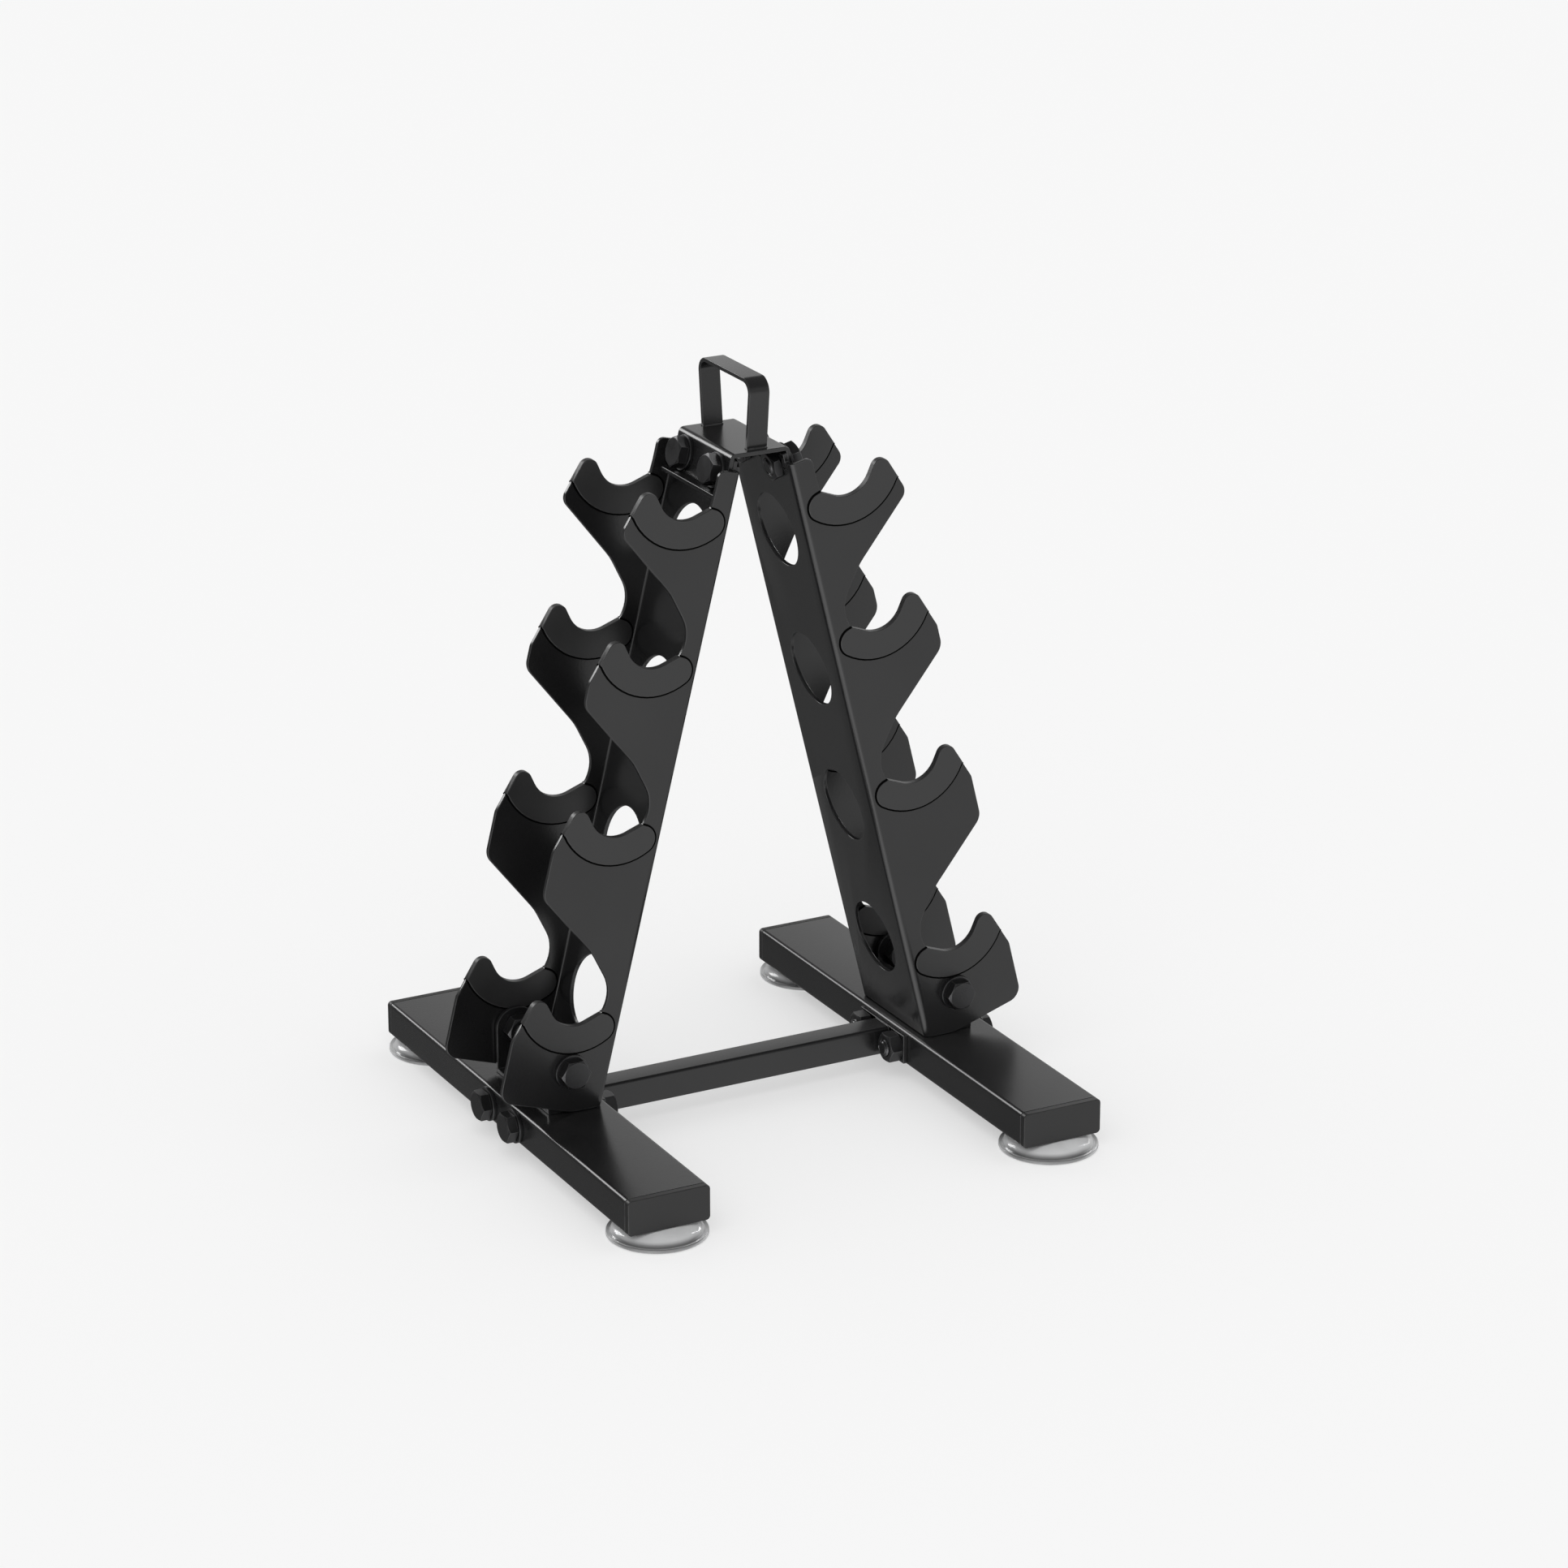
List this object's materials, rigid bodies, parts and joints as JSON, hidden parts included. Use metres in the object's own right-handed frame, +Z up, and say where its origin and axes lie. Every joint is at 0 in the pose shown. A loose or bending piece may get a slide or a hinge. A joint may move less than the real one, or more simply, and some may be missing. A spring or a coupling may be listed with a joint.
{
  "type": "dumbbell rack",
  "caption": "Small A-frame dumbbell rack: two leaning sheet-steel uprights with stacked lined cradles, flat base tubes, a crossbar and a carrying handle.",
  "frame": {"origin": "on the ground, under the middle of the rack", "axes": "+Z up; X along the crossbar, from the left upright to the right one; Y from front to back, along the base tubes"},
  "size_m": [0.399, 0.416, 0.5239],
  "materials": {
    "coated_steel": "satin black powder coat",
    "liner_plastic": "matte moulded black",
    "cap_plastic": "satin moulded black",
    "dark_hardware": "black oxide",
    "plain_stud": "zinc plated",
    "clear_foot": "clear, glossy"
  },
  "bodies": {
    "root": {"base_tube_left": "coated_steel", "base_tube_right": "coated_steel", "end_cap_left_front": "cap_plastic", "end_cap_left_rear": "cap_plastic", "end_cap_right_front": "cap_plastic", "end_cap_right_rear": "cap_plastic", "foot_left_front": "clear_foot", "foot_left_rear": "clear_foot", "foot_right_front": "clear_foot", "foot_right_rear": "clear_foot", "foot_studs": "plain_stud", "crossbar": "coated_steel", "crossbar_bolts": "dark_hardware", "crossbar_washers": "dark_hardware", "crossbar_nuts": "dark_hardware", "clevis_left": "coated_steel", "clevis_right": "coated_steel", "upright_left": "coated_steel", "upright_right": "coated_steel", "liner_left_front_1": "liner_plastic", "liner_left_front_2": "liner_plastic", "liner_left_front_3": "liner_plastic", "liner_left_front_4": "liner_plastic", "liner_left_rear_1": "liner_plastic", "liner_left_rear_2": "liner_plastic", "liner_left_rear_3": "liner_plastic", "liner_left_rear_4": "liner_plastic", "liner_right_front_1": "liner_plastic", "liner_right_front_2": "liner_plastic", "liner_right_front_3": "liner_plastic", "liner_right_front_4": "liner_plastic", "liner_right_rear_1": "liner_plastic", "liner_right_rear_2": "liner_plastic", "liner_right_rear_3": "liner_plastic", "liner_right_rear_4": "liner_plastic", "upright_bolts": "dark_hardware", "upright_washers": "dark_hardware", "upright_spacers": "liner_plastic", "upright_nuts": "dark_hardware", "saddle": "coated_steel", "saddle_bolts": "dark_hardware", "saddle_washers": "dark_hardware", "saddle_nuts": "dark_hardware", "handle": "coated_steel"}
  },
  "joints": []
}
